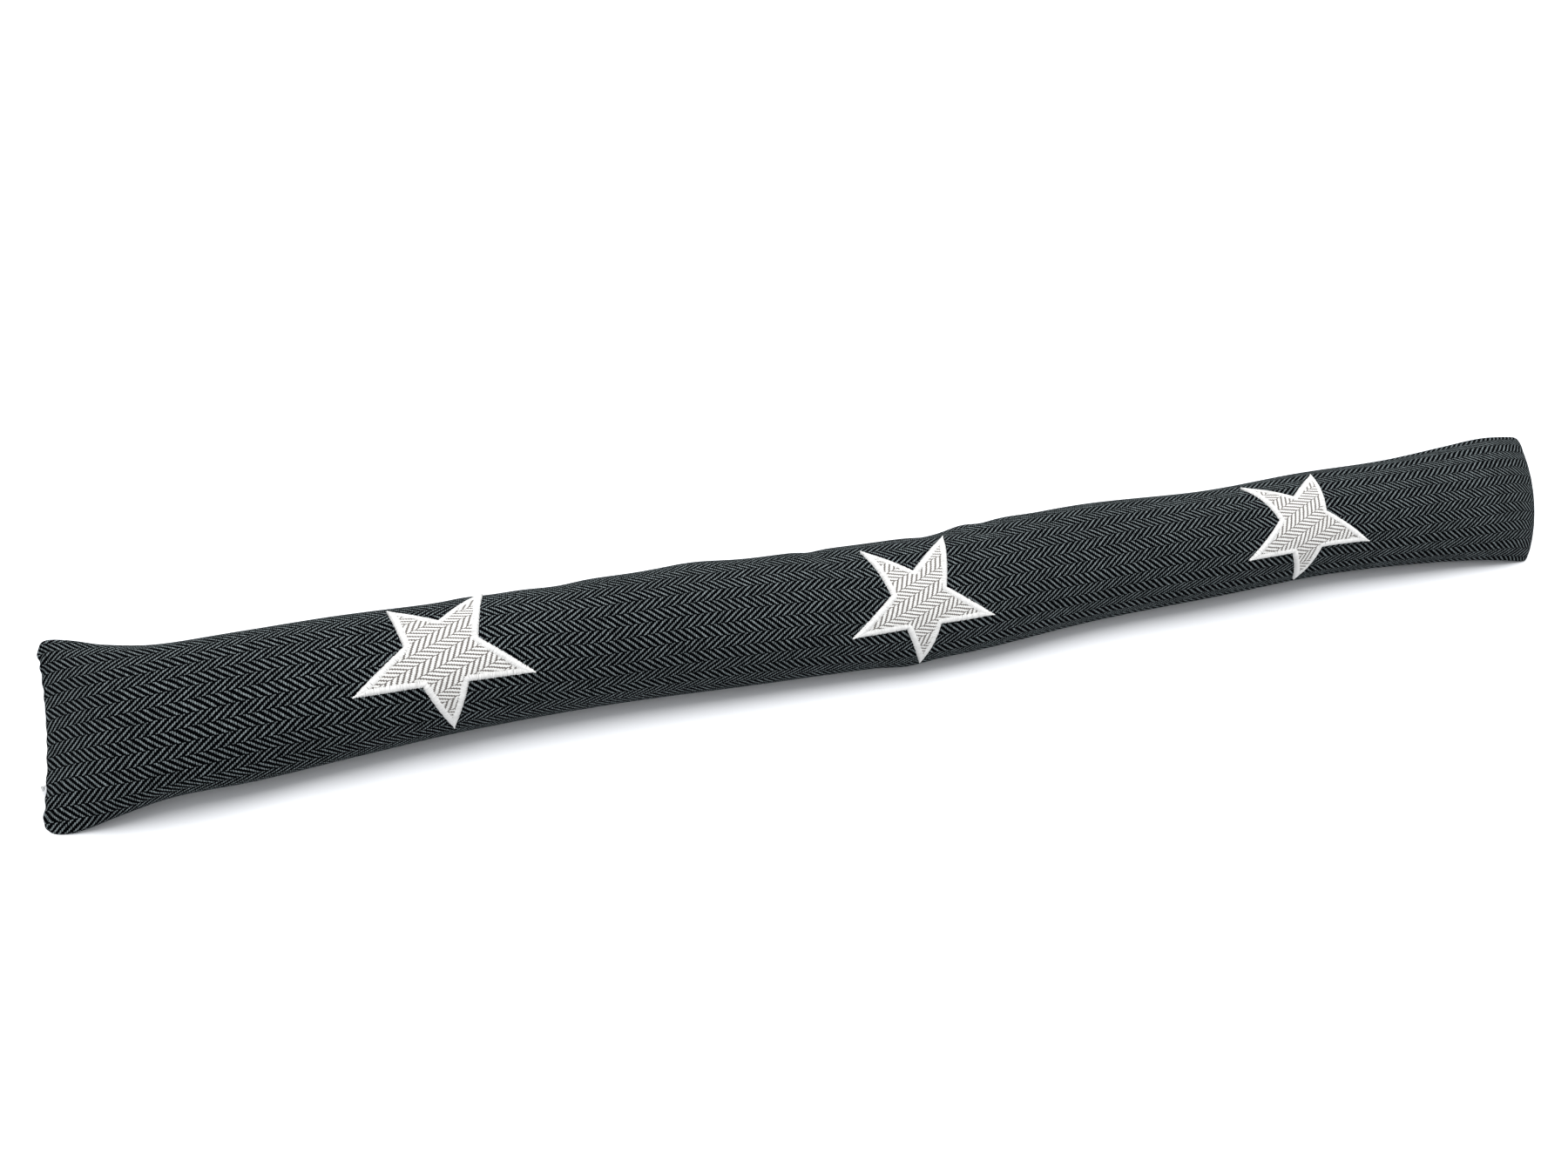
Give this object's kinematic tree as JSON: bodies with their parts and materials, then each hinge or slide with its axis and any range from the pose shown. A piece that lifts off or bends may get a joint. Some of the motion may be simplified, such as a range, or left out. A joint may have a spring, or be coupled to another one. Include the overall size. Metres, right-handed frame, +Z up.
{
  "type": "draught excluder",
  "caption": "Long filled fabric draught excluder in charcoal herringbone cloth with pale star patches along its upper front, for lying against the foot of a door.",
  "frame": {"origin": "on the floor, under the middle of the whole object's bounding box", "axes": "+X along the bag from its left end to its right end as seen from the front, +Y to the back, +Z up"},
  "size_m": [0.9246, 0.0998, 0.0658],
  "materials": {
    "cover": "charcoal and grey herringbone wool-mix cloth",
    "star": "off-white and warm grey herringbone cloth",
    "label_tab": "plain white ribbon"
  },
  "bodies": {
    "root": {"cover": "cover", "label_tab": "label_tab", "star_left": "star", "star_middle": "star", "star_right": "star"}
  },
  "joints": []
}
